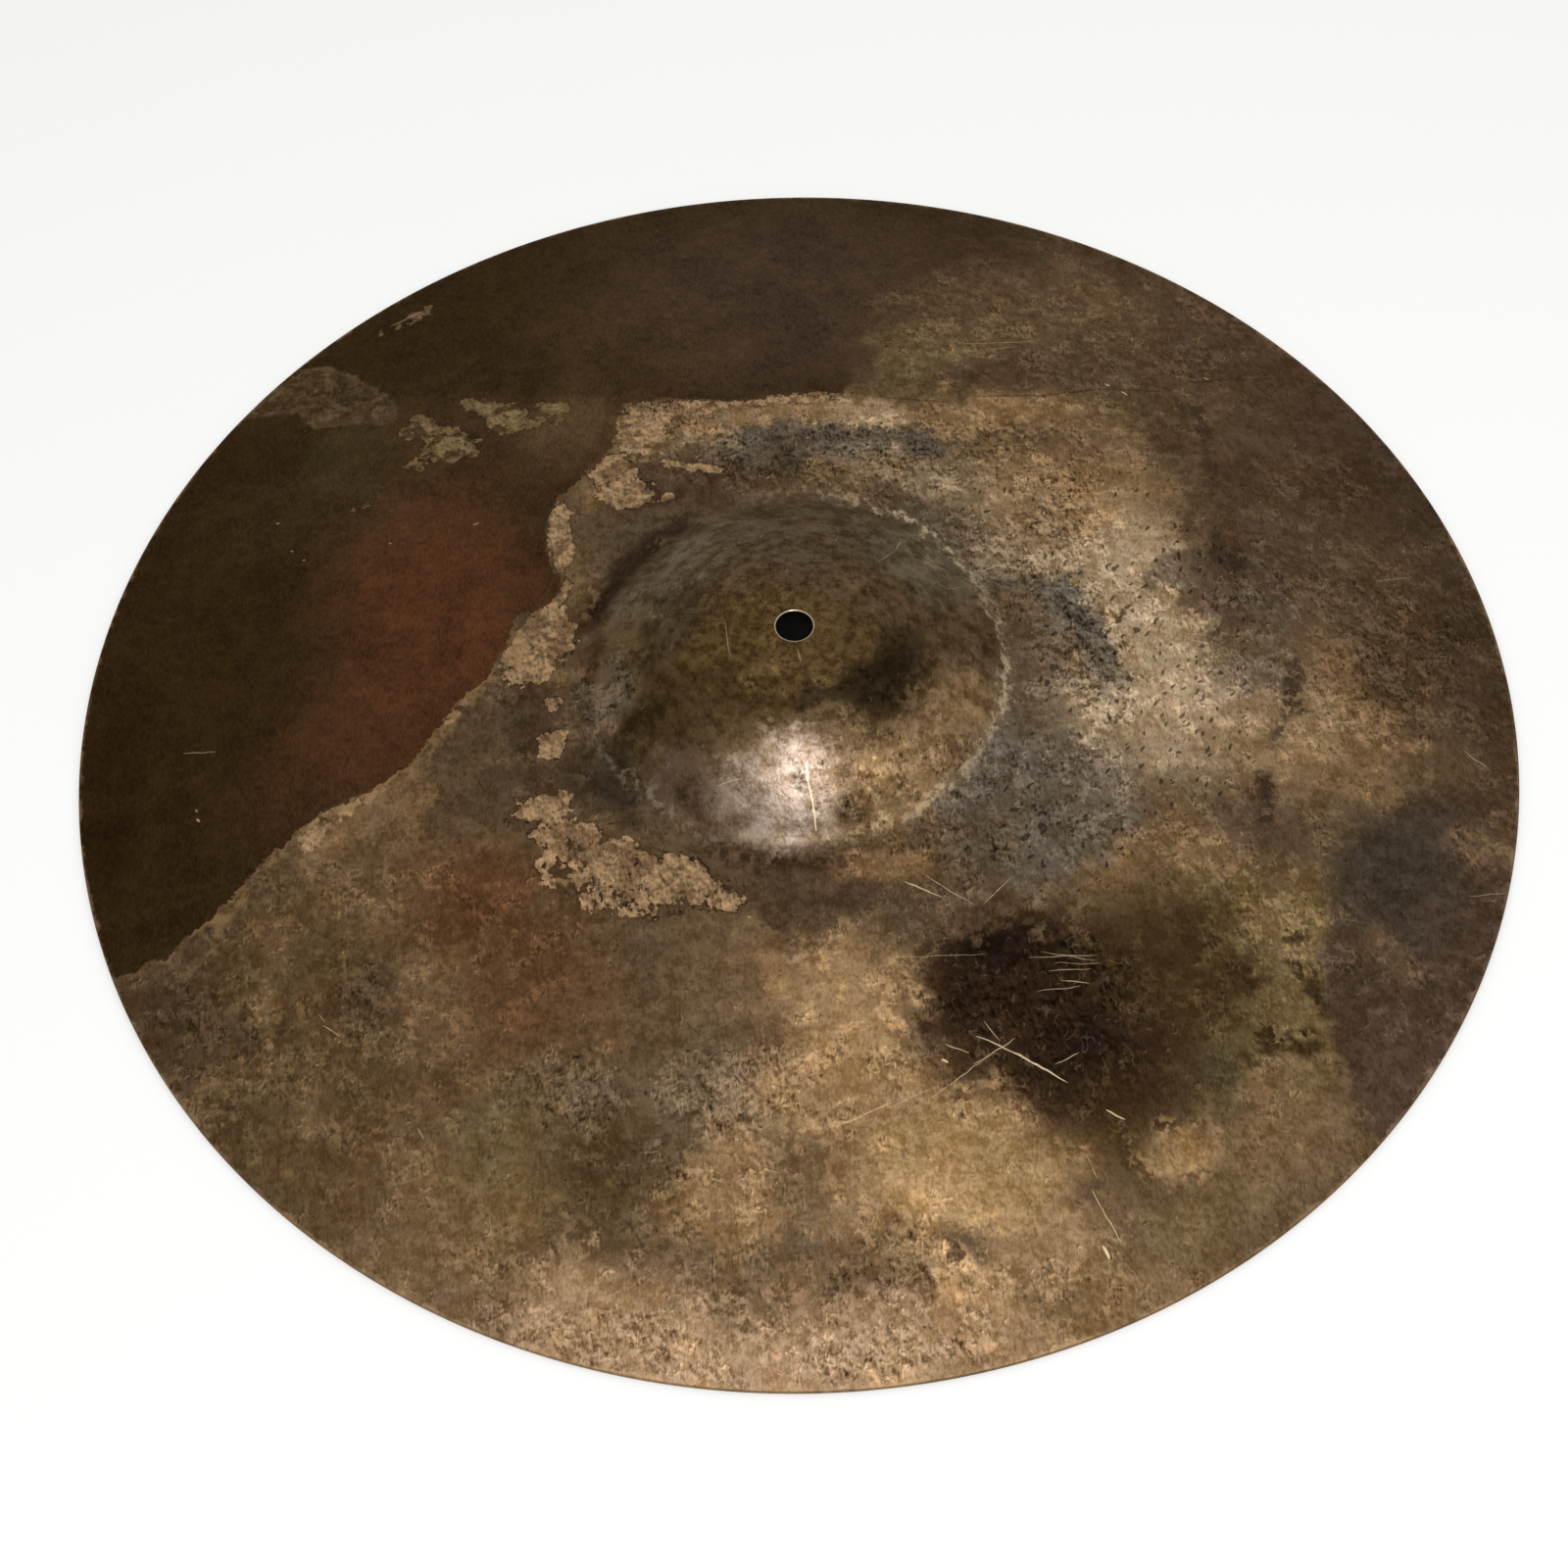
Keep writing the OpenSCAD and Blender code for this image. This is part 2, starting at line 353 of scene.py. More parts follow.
LEFT_STAINS = (
    ("loam", -150, -140, 150, 130, 60), ("rust", -110, -84, 46, 48, 90, 20),
    ("umber", -44, -112, 70, 46, 35), ("rust", -86, -120, 46, 46, 65), ("sand", -146, -74, 50, 44, 50),
    ("umber", -120, -160, 50, 40, 35), ("sand", -122, -122, 34, 40, 40),
    ("umber", -190, -140, 60, 80, 25, 30), ("dark_umber", -206, -122, 30, 28, 40),
    ("dark_umber", -182, -134, 10, 10, 75), ("dark_umber", -204, -144, 8, 8, 70),
    ("tan", -175, -126, 5, 30, 45, -2), ("tan", -172, -100, 8, 14, 40), ("bark", -142, -124, 24, 30, 50),
    ("sand", -156, -165, 24, 12, 50, -20), ("sand", -121, -181, 18, 18, 45),
    ("olive", -92, -184, 30, 50, 50, 20), ("sand", -118, -208, 80, 34, 60, 26),
    ("tan", -162, -60, 26, 14, 90, 40), ("sand", -141, -49, 30, 24, 80, 40), ("tan", -84, 2, 14, 18, 70),
    ("dark_umber", -95, -22, 13, 34, 60), ("umber", -112, -22, 26, 30, 50),
    ("umber", -72, 48, 18, 60, 30, 10), ("sand", -79, 42, 18, 42, 70), ("dark_umber", -92, -44, 20, 12, 40),
    ("night", -60, -50, 36, 22, 85, -45), ("murk", -63, -47, 34, 11, 55, -42),
    ("bark", -74, -42, 20, 16, 40), ("sand", -60, -82, 80, 26, 15, -28),
)
BELL_STAINS_AND_LIGHT = (
    ("dark_olive", 0, 0, 112, 100, 35), ("flank", 0, 52, 140, 48, 85),
    ("green_flank", 46, 42, 42, 50, 90, 20), ("grey", -46, 34, 24, 60, 55, -40),
    ("umber", -2, 2, 60, 44, 35), ("bell_olive", -16, -6, 96, 50, 70, -6),
    ("dark_olive", -24, -24, 44, 20, 90, -25), ("dark_olive", -42, -36, 40, 26, 95, -40),
    # The murk oval at (16, -31), a band above the highlight, is a painted dark reflection; the murk round
    # (36, -20) is a dark blotch.
    ("murk", 40, -12, 18, 30, 70, -14), ("murk", 34, -24, 34, 24, 100, 14), ("murk", 34, -22, 18, 18, 50),
    ("murk", 16, -31, 42, 10, 75, 4), ("murk", 54, 9, 6, 4, 50, -20), ("murk", 42, 17, 4, 16, 40, 14),
    ("ink", -10, 28, 12, 5, 30, 10), ("sand", 22, 20, 14, 8, 30, 20), ("sand", -18, 30, 12, 6, 25),
    # The pale oval at (-1, -56) on the next line is rubbed metal with a painted highlight on the bell's near
    # flank.
    ("plum", -33, -54, 32, 18, 75, -35), ("bare_and_highlight", -1, -56, 34, 25, 85, 8), ("grey", -63, -16, 20, 24, 75),
    ("sand", -8, -18, 18, 10, 35), ("flank", -2, 60, 90, 20, 50), ("night", -44, 8, 18, 40, 50, -10),
)
# Rings round the bell's foot: paint, radius, width, from and to in degrees from +X, strength. The ink, soot
# and night rings, at radius 73 to 80.5, are painted shade in the crease at the foot; the others are stains
FOOT_RINGS_OF_STAIN_AND_SHADE = (
    ("amber", 62, 18, 283, 356, 0.95), ("ink", 73, 3.5, 112, 172, 0.8), ("night", 75, 5, 172, 240, 0.6),
    ("soot", 76, 6, 112, 176, 0.85), ("soot", 80.5, 5, 240, 288, 0.8), ("night", 79, 7, 205, 228, 0.8),
    ("slate", 78, 7, 296, 352, 0.7), ("grey", 59, 5, 95, 150, 0.8), ("grey", 66, 3, 70, 105, 0.5),
    ("tan", 62, 4, 208, 232, 0.35),
)
# Tones of the smooth zone: its dark colour is a painted dark reflection
DARK_REFLECTION_TONES = (
    ("dark_reflection_left", -226, 10, 90, 260, 70), ("dark_reflection_deep", -250, -50, 50, 90, 60),
    ("dark_reflection_brown", -126, 60, 80, 130, 35), ("dark_reflection_red", -124, 30, 76, 120, 95, 10),
    ("dark_reflection_red", -150, -24, 70, 50, 60, 40), ("dark_reflection_far", 4, 190, 156, 120, 95),
    ("dark_reflection_brown", -60, 160, 80, 44, 40), ("dark_reflection_left", -150, 195, 120, 60, 50, 40),
    ("dark_reflection_olive", -167, 109, 36, 38, 100), ("dark_reflection_smear", -158, 92, 10, 22, 80, 14),
    ("dark_reflection_smear", -136, 104, 22, 22, 60), ("dark_reflection_brown", -80, 116, 48, 46, 100),
    ("sand", -82, 120, 42, 26, 20), ("dark_reflection_brown", -180, 82, 80, 44, 30),
    ("dark_reflection_brown", -128, 128, 90, 26, 45),
)

WANDER = ((5, 40), (2.2, 11))  # how far the edges of the stains wander, mm, and over what length
SHARP = 0.2  # stains with edges at most this soft wander less
SHARP_WANDER = 0.25
PAINTED_LIGHT_SLOPE = 0.00018  # painted light: how much paler the bronze is painted for each mm towards the far right, where more light falls
RING_WANDER = (1.2, 18)  # and how far a ring's middle wanders, in the same way
RING_ENDS = 14  # a ring of stain fades out over this angle at each end, degrees


def painted(x, y, start, stains):
    """The colour of each point, 0 to 255, after these stains are laid one over another on a start colour."""
    colour = np.tile(np.array(PAINT[start][:3], float), (len(x), 1))
    (broad, broad_w), (fine, fine_w) = WANDER
    dx = broad * cloud(x, y, broad_w, 31, 2) + fine * cloud(x, y, fine_w, 32, 2)
    dy = broad * cloud(x, y, broad_w, 33, 2) + fine * cloud(x, y, fine_w, 34, 2)
    for name, *oval in stains:
        *target, soft = PAINT[name]
        free = SHARP_WANDER if soft <= SHARP else 1.0
        share = spot(x + free * dx, y + free * dy, oval, soft)
        colour += share[:, None] * (target - colour)
    return colour


def ringed(x, y, colour):
    """Adds the rings round the bell's foot to a colour: stains, and painted shade in the foot's crease."""
    wander, wander_w = RING_WANDER
    radius = np.hypot(x, y) + wander * cloud(x, y, wander_w, 41)
    angle = np.degrees(np.arctan2(y, x))
    for name, ring, width, start, end, strength in FOOT_RINGS_OF_STAIN_AND_SHADE:
        along = (angle - start) % 360
        span = end - start
        ends = smooth(along, 0, RING_ENDS) * smooth(along, span, span - RING_ENDS)
        share = strength * ends * np.exp(-((radius - ring) / width * 1.6) ** 2)
        colour += share[:, None] * (PAINT[name][:3] - colour)
    return colour


def bronze_stains_and_light(x, y):
    """All the colours of the bare bronze, 0 to 255: its stains, with a painted highlight and a painted dark
    reflection on the bell, painted shade in the crease round its foot, and painted light towards the far
    right.
    """
    stains = FAR_STAINS + RIGHT_STAINS + LOW_RIGHT_STAINS + LOW_STAINS + LEFT_STAINS + BELL_STAINS_AND_LIGHT
    # The last factor is painted light, paler towards the far right.
    return ringed(x, y, painted(x, y, "umber", stains)) * (1 + PAINTED_LIGHT_SLOPE * (x + y))[:, None]


# The smooth zone that covers the left and far part, as points round its outline. Its dark colour is a painted
# dark reflection.
DARK_REFLECTION_EDGE = (
    (-250, -112), (-230, -107), (-213, -102), (-204, -94), (-193, -84), (-184, -73), (-172, -60), (-163, -53),
    (-150, -46), (-141, -41), (-130, -31), (-123, -19), (-114, -7), (-107, 2), (-101, 14), (-99, 24),
    (-93, 26), (-88, 31), (-83, 34), (-83, 41), (-88, 51), (-90, 62), (-89, 75), (-80, 87), (-70, 100),
    (-66, 106), (-63, 127), (-40, 129), (-18, 127), (0, 130), (22, 131), (25, 150), (36, 175), (70, 215),
    (90, 275), (-290, 290), (-300, -100),
)
# A paler patch on it, by the rim
PATCH_EDGE = (
    (-212, 140), (-190, 163), (-175, 159), (-165, 151), (-154, 140), (-152, 127), (-168, 129), (-183, 129),
    (-189, 138), (-200, 139),
)


def inside(x, y, outline, bends=4):
    """Distance in mm into a closed outline, below zero outside it. A Catmull-Rom curve rounds its corners."""
    p = np.array(outline, float)
    t = (np.arange(bends) / bends)[:, None]
    line = []
    for i in range(len(p)):
        a, b, c, d = p[i - 1], p[i], p[(i + 1) % len(p)], p[(i + 2) % len(p)]
        line.append(b + 0.5 * t * (c - a + t * (2 * a - 5 * b + 4 * c - d + t * (3 * (b - c) + d - a))))
    line = np.concatenate(line)
    nearest, crossed = np.full(len(x), np.inf), np.zeros(len(x), bool)
    for (ax, ay), (bx, by) in zip(line, np.roll(line, -1, 0)):
        ex, ey = bx - ax, by - ay
        along = np.clip(((x - ax) * ex + (y - ay) * ey) / (ex * ex + ey * ey + 1e-9), 0, 1)
        nearest = np.minimum(nearest, np.hypot(x - ax - along * ex, y - ay - along * ey))
        if ay != by:
            crossed ^= ((ay > y) != (by > y)) & (x < ax + ex * (y - ay) / ey)
    return np.where(crossed, nearest, -nearest)


# Where each kind of surface lies: ovals, listed as the stains are but without a paint
CRUST = (
    (-85, 60, 9, 36, 100, 2), (-83, 34, 6, 14, 90, -15), (-88, 15, 21, 26, 100), (-94, 4, 20, 18, 90, -45),
    (-84, -13, 8, 6, 80), (-84, -30, 12, 12, 90), (-86, -56, 24, 10, 85, 20), (-118, -14, 16, 6, 70, 48),
    (-55, 114, 24, 27, 100), (-38, 122, 30, 13, 75, -6), (-5, 126, 60, 6, 70), (-60, 80, 20, 13, 90, 12),
    (-66, 92, 20, 16, 85, -30), (-48, 77, 15, 4, 80, 12), (-38, 93, 28, 5, 70, -14),
    (-76, -69, 28, 15, 90, -24), (-58, -80, 30, 18, 95, -30), (-40, -86, 30, 18, 90, -24),
    (-25, -93, 20, 10, 70, -24), (-64, -88, 50, 16, 60, -24), (-161, -58, 22, 10, 85, 42),
    (-147, -48, 16, 5, 70, 36),
)
FLAKES = (
    (-142, 123, 11, 13, 100), (-134, 119, 12, 7, 90, -30), (-127, 111, 20, 16, 100, -30),
    (-120, 107, 8, 10, 80), (-139, 102, 13, 9, 62, 30), (-117, 130, 16, 10, 95, -40),
    (-108, 123, 17, 13, 100, -30), (-99, 120, 11, 8, 85, 20), (-91, 128, 13, 6, 100, -8),
    (-89, 121, 6, 6, 75), (-159, 84, 7, 5, 65), (-150, 189, 18, 6, 70, 36), (-162, 181, 7, 4, 60, 36),
)
PITS = (
    (124, 24, 80, 140, 100), (118, -34, 90, 60, 90), (90, 70, 70, 60, 70), (10, 102, 100, 30, 90),
    (88, -56, 60, 80, 90), (86, 5, 40, 80, 90), (150, -90, 60, 50, 50), (-50, -80, 80, 30, 90, -24),
    (-30, -160, 120, 50, 50),
)
# Flaky, grainy metal
GRAIN = (
    (70, 70, 90, 70, 50), (60, -60, 110, 60, 40), (-60, -236, 80, 24, 80, -16), (24, -243, 60, 16, 70, 6),
    (-20, -225, 200, 50, 40), (-20, -161, 44, 26, 100), (-76, -158, 36, 26, 90), (-30, -195, 60, 40, 40),
    (76, -136, 76, 64, 70), (12, 100, 110, 34, 90), (-170, -130, 90, 90, 35), (-128, -160, 70, 60, 20),
    (40, -216, 60, 20, 60, -20), (-66, -16, 24, 30, 80), (88, 28, 50, 30, 90, -20),
    (102, 8, 26, 60, 80, 12), (200, 20, 90, 120, 40), (150, -120, 60, 90, 20), (110, 160, 140, 60, 25, -14),
)
# Rubbed bright on the bell
POLISH = ((1, -54, 32, 26, 100), (24, -58, 44, 18, 40, 22))
# The light line in the bell's foot, worn metal with a painted highlight where the foot's edge catches the
# light: angle, radius and strength there
FOOT_WEAR_AND_HIGHLIGHT = (
    (-176, 75, 0.0), (-158, 75, 0.12), (-136, 73, 0.22), (-116, 76, 0.15), (-90, 77, 0.1), (-70, 73.5, 0.3),
    (-30, 73.5, 0.55), (-12, 74, 0.8), (8, 73, 0.6), (24, 73, 0.5), (45, 75, 1.0), (60, 76.5, 1.0),
    (76, 78, 0.5), (105, 79, 0.0),
)

DARK_REFLECTION_BLUR_Y, DARK_REFLECTION_BLUR_X = (126, 150), (0, 30)  # here the edge of the smooth zone's painted dark reflection turns from crisp to blurred
BRIM_FAR, BRIM_NEAR = (30, 5), (-112, -90)  # and its brim grows from nothing at each end, along y
CALM_BELL = 0.15  # how much less flaky the bell is
PAINT_GAIN = 1.08  # the room is a little darker than a white surface


def spots(x, y, table, soft=0.7):
    """The strongest of several soft ovals at each point."""
    total = np.zeros(len(x))
    for oval in table:
        total = np.maximum(total, spot(x, y, oval, soft))
    return total


def reflectance(colour):
    """0 to 255 display colours as the linear reflectance of the metal."""
    c = np.clip(np.asarray(colour, float) / 255, 0, 1)
    return PAINT_GAIN * np.where(c <= 0.04045, c / 12.92, ((c + 0.055) / 1.055) ** 2.4)


def lay_patina_and_light(mesh, x, y, up):
    """Stores on the mesh where each kind of surface lies, with its painted light and shade, for the material
    to read.
    """

    def store(name, values):
        if values.ndim == 1:
            mesh.attributes.new(name, "FLOAT", "POINT").data.foreach_set("value", values.astype(np.float32))
            return
        rgba = np.column_stack((values, np.ones(len(values)))).astype(np.float32)
        mesh.attributes.new(name, "FLOAT_COLOR", "POINT").data.foreach_set("color", rgba.ravel())

    radius, angle = np.hypot(x, y), np.degrees(np.arctan2(y, x))
    store("stain_and_light", reflectance(bronze_stains_and_light(x, y)))
    reach = 3 + 4 * smooth(radius, FOOT_R - 7, FOOT_R + 9)  # the second set of stains lies this far off, mm
    drift_x, drift_y = x + reach * cloud(x, y, 8, 51, 2), y + reach * cloud(x, y, 8, 52, 2)
    store("drift", reflectance(bronze_stains_and_light(drift_x, drift_y)))
    # The smooth zone's colours: a painted dark reflection.
    store("dark_reflection_colour", reflectance(painted(x, y, "dark_reflection", DARK_REFLECTION_TONES)))
    store("dark_reflection", inside(x, y, DARK_REFLECTION_EDGE))
    store("patch", inside(x, y, PATCH_EDGE))
    store("soft", smooth(y, *DARK_REFLECTION_BLUR_Y) * smooth(x, *DARK_REFLECTION_BLUR_X))
    store("brim", smooth(y, *BRIM_FAR) * smooth(y, *BRIM_NEAR))
    wx, wy = x + 1.5 * cloud(x, y, 14, 61), y + 1.5 * cloud(x, y, 14, 62)  # so that the ovals aren't neat
    store("crust", spots(wx, wy, CRUST, 0.5))
    store("flake", spots(wx, wy, FLAKES))
    store("pits", spots(wx, wy, PITS))
    plain = CALM_BELL * smooth(radius, FOOT_R + 7, FOOT_R - 3)
    store("grain", np.clip(spots(wx, wy, GRAIN) + 0.22 - plain + 0.25 * cloud(x, y, 30, 63), 0, 1))
    store("polish", spots(x, y, POLISH))
    angles, line_radii, strengths = zip(*FOOT_WEAR_AND_HIGHLIGHT)
    store("foot_off", radius - np.interp(angle, angles, line_radii))
    store("foot_wear_and_highlight", np.interp(angle, angles, strengths))
    store("upper_side", up)


# ---- materials
# The noises of the bronze: size of the blobs in mm, detail, roughness
COARSE = (26, 4, 0.62)
MEDIUM = (9, 4, 0.66)
LOBES = (4.6, 3, 0.6)
FINE = (2.8, 3, 0.62)
GRIT = (0.75, 1, 0.5)
SWIRL = (2.4, 3, 0.6)
HUE = (17, 3, 0.6)
CURL_W = 3.8
# The painted light and shade of small bumps: their size in mm, and the step between the lit and the shaded
# side
BUMP_LIGHT_W, BUMP_LIGHT_STEP = 2.5, (0.22, 0.36)
SWIRL_REACH = 16.0  # the smaller, the longer the streaks that run round the bell

# Tints that the stains are multiplied by
WARMER = (1.08, 0.98, 0.84, 1)
COOLER = (0.95, 0.98, 1.02, 1)
DEEPER = (0.98, 0.88, 0.72, 1)
EDGE_TINT = (0.76, 0.68, 0.58, 1)  # oxide keeps its own colour even at a grazing angle

# Colours of what lies on the stains, 0 to 255
FINISH = {
    "dark_line": (30, 21, 13), "pale_line": (200, 178, 142), "lifted": (62, 52, 40),
    "crust_dark": (112, 87, 60), "crust_pale": (146, 119, 87), "brim": (138, 109, 74),
    "patch": (70, 53, 34), "patch_brown": (86, 68, 45), "patch_pale": (102, 82, 56),
    "patch_line": (100, 82, 58), "flake": (84, 65, 41), "flake_tan": (118, 96, 64),
    "flake_pale": (134, 112, 78), "foot": (186, 168, 136), "rim": (150, 124, 92), "lip": (214, 198, 178),
    "scratch": (206, 184, 146), "under": (72, 56, 38), "under_pale": (106, 86, 60),
    "under_dark": (60, 45, 31), "under_bell": (52, 43, 29), "under_rim": (122, 99, 68),
}

# Scratches and chips: from x and y to x and y, width in mm, strength in percent
SCRATCHES = (
    # on the bell
    (3, -50, 4, -58, 0.8, 100), (4, -57, 6, -70, 0.9, 100), (-27, -55, -18, -54, 0.4, 50),
    (39, 47, 36, 39, 0.35, 60), (36, 39, 30, 31, 0.35, 60), (-24, 3, -22, -12, 0.35, 50),
    (1, -10, 2, -15, 0.6, 40), (65, 39, 76, 43, 0.4, 70), (54, 24, 60, 28, 0.35, 35),
    # below the bell
    (34, -88, 47, -94, 0.6, 90), (40, -85, 57, -97, 0.4, 60), (60, -97, 70, -87, 0.4, 60),
    (30, -116, 60, -115, 0.3, 45), (55, -143, 70, -150, 0.6, 90), (66, -148, 84, -159, 0.8, 100),
    (40, -164, 58, -151, 0.4, 60), (54, -153, 68, -144, 0.5, 70), (58, -138, 63, -145, 0.4, 60),
    (45, -146, 53, -149, 0.5, 70), (44, -151, 46, -152, 1.2, 90), (10, -173, 28, -165, 0.5, 60),
    (26, -167, 42, -160, 0.3, 40), (80, -153, 88, -149, 0.5, 60), (74, -116, 97, -115, 0.35, 60),
    (78, -114, 96, -117, 0.3, 60), (82, -118, 98, -118, 0.3, 55), (80, -121, 94, -120, 0.35, 60),
    (84, -124, 93, -125, 0.4, 70), (76, -128, 90, -126, 0.35, 60), (95, -168, 101, -171, 0.7, 100),
    (88, -182, 91, -190, 0.4, 50), (89, -194, 97, -210, 0.45, 80), (91, -211, 93, -215, 1.2, 100),
    # on the right
    (138, 14, 146, 13, 0.5, 60), (140, 11, 147, 9, 0.5, 60), (186, -22, 198, -21, 0.4, 40),
    (212, 43, 226, 46, 0.4, 40), (224, -88, 238, -86, 0.5, 35), (232, -30, 240, -37, 0.5, 60),
    (121, 137, 123, 136, 1.0, 90), (127, 133, 129, 131, 0.9, 90), (160, 143, 162, 142, 0.8, 80),
    # far side
    (68, 158, 96, 160, 0.5, 40), (76, 155, 90, 157, 0.4, 40), (72, 150, 84, 152, 0.4, 30),
    # at the left
    (-158, 184, -146, 192, 1.1, 35), (-215, -22, -203, -23, 0.4, 60), (-156, -131, -150, -135, 0.5, 60),
    (-158, -127, -155, -130, 0.4, 50), (-123, -168, -121, -172, 0.5, 50), (-192, 80, -191, 80, 1.1, 50),
    (-185, 65, -184, 65, 0.9, 50), (-180, 60, -179, 60, 1.1, 40), (-148, 64, -147, 64, 0.9, 40),
    (-117, 70, -115, 71, 1.1, 40), (-208, -46, -207, -47, 0.9, 60), (-207, -50, -206, -51, 1.1, 70),
)
# Dark cracks and gouges
CRACKS = (
    (36, 127, 62, 124, 1.3, 50), (70, 128, 98, 129, 1.5, 60), (94, 129, 120, 134, 1.5, 55),
    (114, 134, 144, 134, 1.3, 45), (150, 139, 176, 144, 1.4, 50), (172, 143, 196, 146, 1.1, 40),
    (-43, 10, -25, 6, 0.5, 90), (-42, 6, -23, 3, 0.45, 80), (-26, 17, -26, 12, 0.6, 80),
    (-66, 74, -50, 71, 0.5, 80), (-34, -77, -30, -83, 1.6, 90), (-47, -83, -45, -86, 1.2, 70),
    (-27, -86, -28, -92, 1.5, 60), (-128, -77, -125, -81, 0.9, 70), (-104, 128, -66, 130, 0.5, 50),
    (-22, -155, -20, -158, 1.0, 80), (-132, 118, -127, 116, 0.8, 80),
)


def paint(name):
    """A finish as the four linear numbers that a colour socket takes."""
    return (*reflectance(FINISH[name]), 1.0)


class Shades:
    """Adds shader nodes to a material and links them. Each method gives an output to use in the next.

    Noises run from 0 to 1 and lie mostly between 0.35 and 0.65, so ease cuts crisp shapes out of one with
    a small step near 0.5, and swing makes a soft variation of a tone from it."""

    def __init__(self, material):
        material.use_nodes = True
        self.tree = material.node_tree
        self.shader = self.tree.nodes["Principled BSDF"]
        self.clouds = 0

    def add(self, kind, inputs, **settings):
        node = self.tree.nodes.new("ShaderNode" + kind)
        for name, value in settings.items():
            setattr(node, name, value)
        for key, value in inputs.items():
            if isinstance(value, bpy.types.NodeSocket):
                self.tree.links.new(value, node.inputs[key])
            else:
                node.inputs[key].default_value = value
        return node

    def calc(self, operation, a, b=0.0):
        return self.add("Math", {0: a, 1: b}, operation=operation).outputs[0]

    def vector(self, operation, a, b=(0, 0, 0)):
        return self.add("VectorMath", {0: a, 1: b}, operation=operation).outputs[0]

    def times(self, *values):
        total = values[0]
        for value in values[1:]:
            total = self.calc("MULTIPLY", total, value)
        return total

    def plus(self, *values):
        total = values[0]
        for value in values[1:]:
            total = self.calc("ADD", total, value)
        return total

    def less(self, a, b):
        return self.calc("SUBTRACT", a, b)

    def ease(self, value, low, high, at_low=0.0, at_high=1.0):
        """An S from at_low, where value is low, to at_high; low may be above high."""
        if not isinstance(low, bpy.types.NodeSocket) and low > high:
            low, high, at_low, at_high = high, low, at_high, at_low
        inputs = {0: value, 1: low, 2: high, 3: at_low, 4: at_high}
        return self.add("MapRange", inputs, interpolation_type="SMOOTHSTEP").outputs[0]

    def mix(self, share, a, b, mode="MIX"):
        return self.add("Mix", {0: share, 6: a, 7: b}, data_type="RGBA", blend_type=mode).outputs[2]

    def lay(self, colour, name, *shares):
        """A finish laid over a colour, as much as the shares together say."""
        return self.mix(self.times(*shares), colour, paint(name))

    def tinted(self, share, colour, tint):
        return self.mix(share, colour, self.mix(1.0, colour, tint, "MULTIPLY"))

    def scaled(self, colour, share):
        return self.add("VectorMath", {0: colour, 3: share}, operation="SCALE").outputs[0]

    def mapped(self, place, turn=0.0, size=(1, 1, 1)):
        """place turned by degrees about Z and measured in size."""
        inputs = {0: place, 2: (0, 0, math.radians(turn)), 3: size}
        return self.add("Mapping", inputs, vector_type="TEXTURE").outputs[0]

    def cloud(self, place, size, detail, rough=0.55):
        """Noise from 0 to 1 with blobs about size mm wide, different at each call."""
        self.clouds += 1
        moved = self.vector("ADD", place, (self.clouds * 37.7, self.clouds * -21.3, 0))
        inputs = {"Vector": moved, "Scale": 1 / size, "Detail": detail, "Roughness": rough}
        return self.add("TexNoise", inputs).outputs[0]

    def swing(self, noise, reach):
        """A noise turned into -reach to reach."""
        return self.ease(noise, 0.36, 0.64, -reach, reach)

    def cells(self, place, size):
        """Distance to the middle of the nearest cell, about size mm wide, and that cell's random number."""
        node = self.add("TexVoronoi", {"Vector": place, "Scale": 1 / size, "Randomness": 1.0})
        return node.outputs["Distance"], self.add("SeparateXYZ", {0: node.outputs["Color"]}).outputs[0]

    def bent(self, place, size, reach):
        """place pushed about by up to reach mm, in swirls about size mm wide."""
        node = self.add("TexNoise", {"Vector": place, "Scale": 1 / size, "Detail": 1.0})
        push = self.vector("SUBTRACT", node.outputs["Color"], (0.5, 0.5, 0.5))
        return self.vector("ADD", place, self.scaled(push, 2 * reach))

    def curls(self, place, size, bar, thin):
        """Short thin curls and the shade beside each: a noise's level lines, where another is over bar."""
        start = self.clouds
        made = []
        for step in (0.0, 0.5):
            self.clouds = start
            moved = self.vector("ADD", place, (step, -step, 0))
            level = self.calc("ABSOLUTE", self.less(self.cloud(moved, size, 1), 0.5))
            kept = self.ease(self.less(self.cloud(moved, size * 1.1, 1), bar), 0.0, 0.05)
            made.append(self.times(self.ease(level, thin, thin * 0.3), kept))
        return made

    def emboss(self, place, size, step):
        """-1 to 1: the lit and the shaded side of small bumps, as the noise rises or falls along step."""
        start = self.clouds
        ends = []
        for sign in (1, -1):
            self.clouds = start
            moved = self.vector("ADD", place, (sign * step[0], sign * step[1], 0))
            ends.append(self.cloud(moved, size, 2, 0.6))
        return self.ease(self.less(*ends), -0.13, 0.13, -1.0, 1.0)

    def marks(self, flat, table):
        """Thin pointed marks, each from one place to another, with its width and its strength.

        Each is the ellipse round its two ends: the sum of a point's distances to them grows across it."""
        total = 0.0
        for *ends, width, strength in table:
            tips = (*ends[:2], 0), (*ends[2:], 0)
            long = math.dist(*tips)
            edge = math.hypot(long, width)
            ways = [self.add("VectorMath", {0: flat, 1: tip}, operation="DISTANCE") for tip in tips]
            far = self.calc("ADD", *(way.outputs["Value"] for way in ways))
            total = self.calc("MAXIMUM", total, self.ease(far, edge, long, 0.0, strength / 100))
        return total

    def field(self, name, part="Fac"):
        return self.add("Attribute", {}, attribute_name=name).outputs[part]


